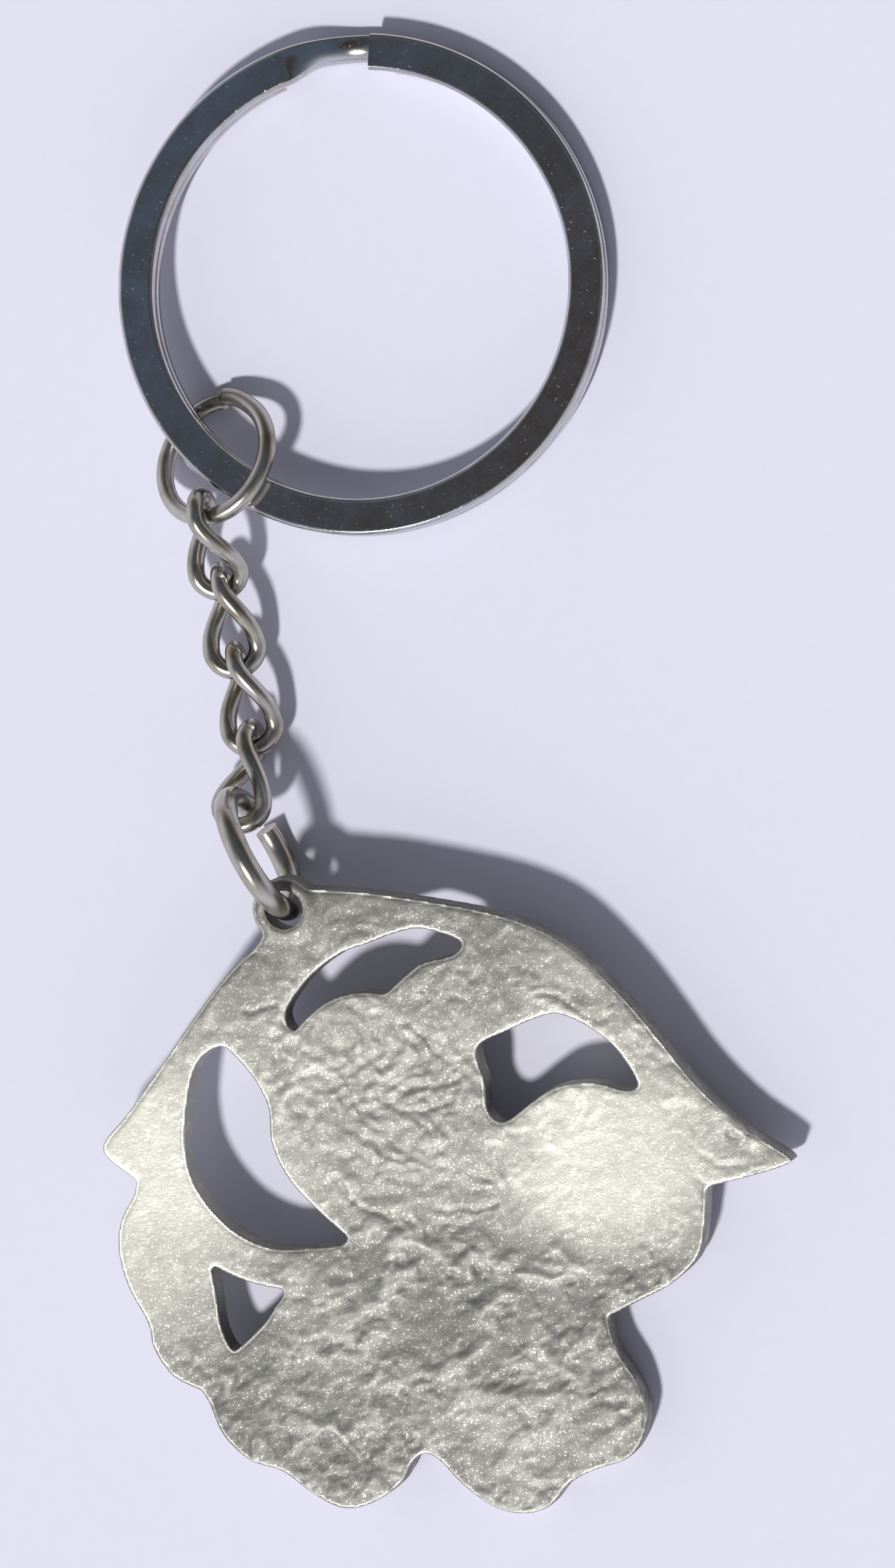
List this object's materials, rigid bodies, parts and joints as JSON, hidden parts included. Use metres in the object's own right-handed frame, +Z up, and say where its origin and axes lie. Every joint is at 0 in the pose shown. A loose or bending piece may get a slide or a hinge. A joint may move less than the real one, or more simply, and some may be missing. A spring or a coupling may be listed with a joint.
{
  "type": "keychain with pierced fob",
  "caption": "Split key ring with a short twisted-link chain, jump rings and a pierced cast-metal floral fob seen from its back; keys thread onto the split ring.",
  "frame": {"origin": "centre of the split ring, on the table plane under it", "axes": "+Z up from the table; +Y from the fob towards the split ring; +X to the right as the object is seen from above"},
  "size_m": [0.0423, 0.0882, 0.0089],
  "materials": {
    "ring_steel": "polished nickel plate with fine scratches",
    "chain_steel": "bright nickel plate on round wire",
    "pewter": "sand-cast pewter, matt with fine sparkle"
  },
  "bodies": {
    "split_ring": {"split_ring": "ring_steel"},
    "jump_ring": {"jump_ring": "chain_steel"},
    "link_1": {"link_1": "chain_steel"},
    "link_2": {"link_2": "chain_steel"},
    "link_3": {"link_3": "chain_steel"},
    "link_4": {"link_4": "chain_steel"},
    "fob_ring": {"fob_ring": "chain_steel"},
    "fob": {"fob": "pewter"}
  },
  "joints": [
    {"name": "jump_ring_travel", "type": "hinge", "parent": "split_ring", "child": "jump_ring", "pos_m": [0, 0, 0.00074], "axis": [0.0322, 0.0371, 0.9988], "continuous": true},
    {"name": "link_1_travel", "type": "hinge", "parent": "jump_ring", "child": "link_1", "pos_m": [-0.00895, -0.01029, 0.00233], "axis": [-0.3337, 0.3472, 0.8764], "range_deg": [-60, 8]},
    {"name": "link_2_turn", "type": "hinge", "parent": "link_1", "child": "link_2", "pos_m": [-0.00882, -0.017, 0.00195], "axis": [-0.0018, 0.3461, -0.9382], "range_deg": [-40, 40]},
    {"name": "link_3_turn", "type": "hinge", "parent": "link_2", "child": "link_3", "pos_m": [-0.0079, -0.02171, 0.00195], "axis": [0.1705, 0.0331, 0.9848], "range_deg": [-45, 45]},
    {"name": "link_4_turn", "type": "hinge", "parent": "link_3", "child": "link_4", "pos_m": [-0.00681, -0.02645, 0.00157], "axis": [-0.1692, -0.0391, -0.9848], "range_deg": [-50, 26]},
    {"name": "fob_ring_swing", "type": "hinge", "parent": "link_4", "child": "fob_ring", "pos_m": [-0.00551, -0.03388, 0.00445], "axis": [-0.8829, -0.4695, 0], "range_deg": [-6, 90]},
    {"name": "fob_turn", "type": "hinge", "parent": "fob_ring", "child": "fob", "pos_m": [-0.00379, -0.03713, 0.00445], "axis": [0.0412, -0.0775, 0.9961], "range_deg": [-60, 60]}
  ]
}
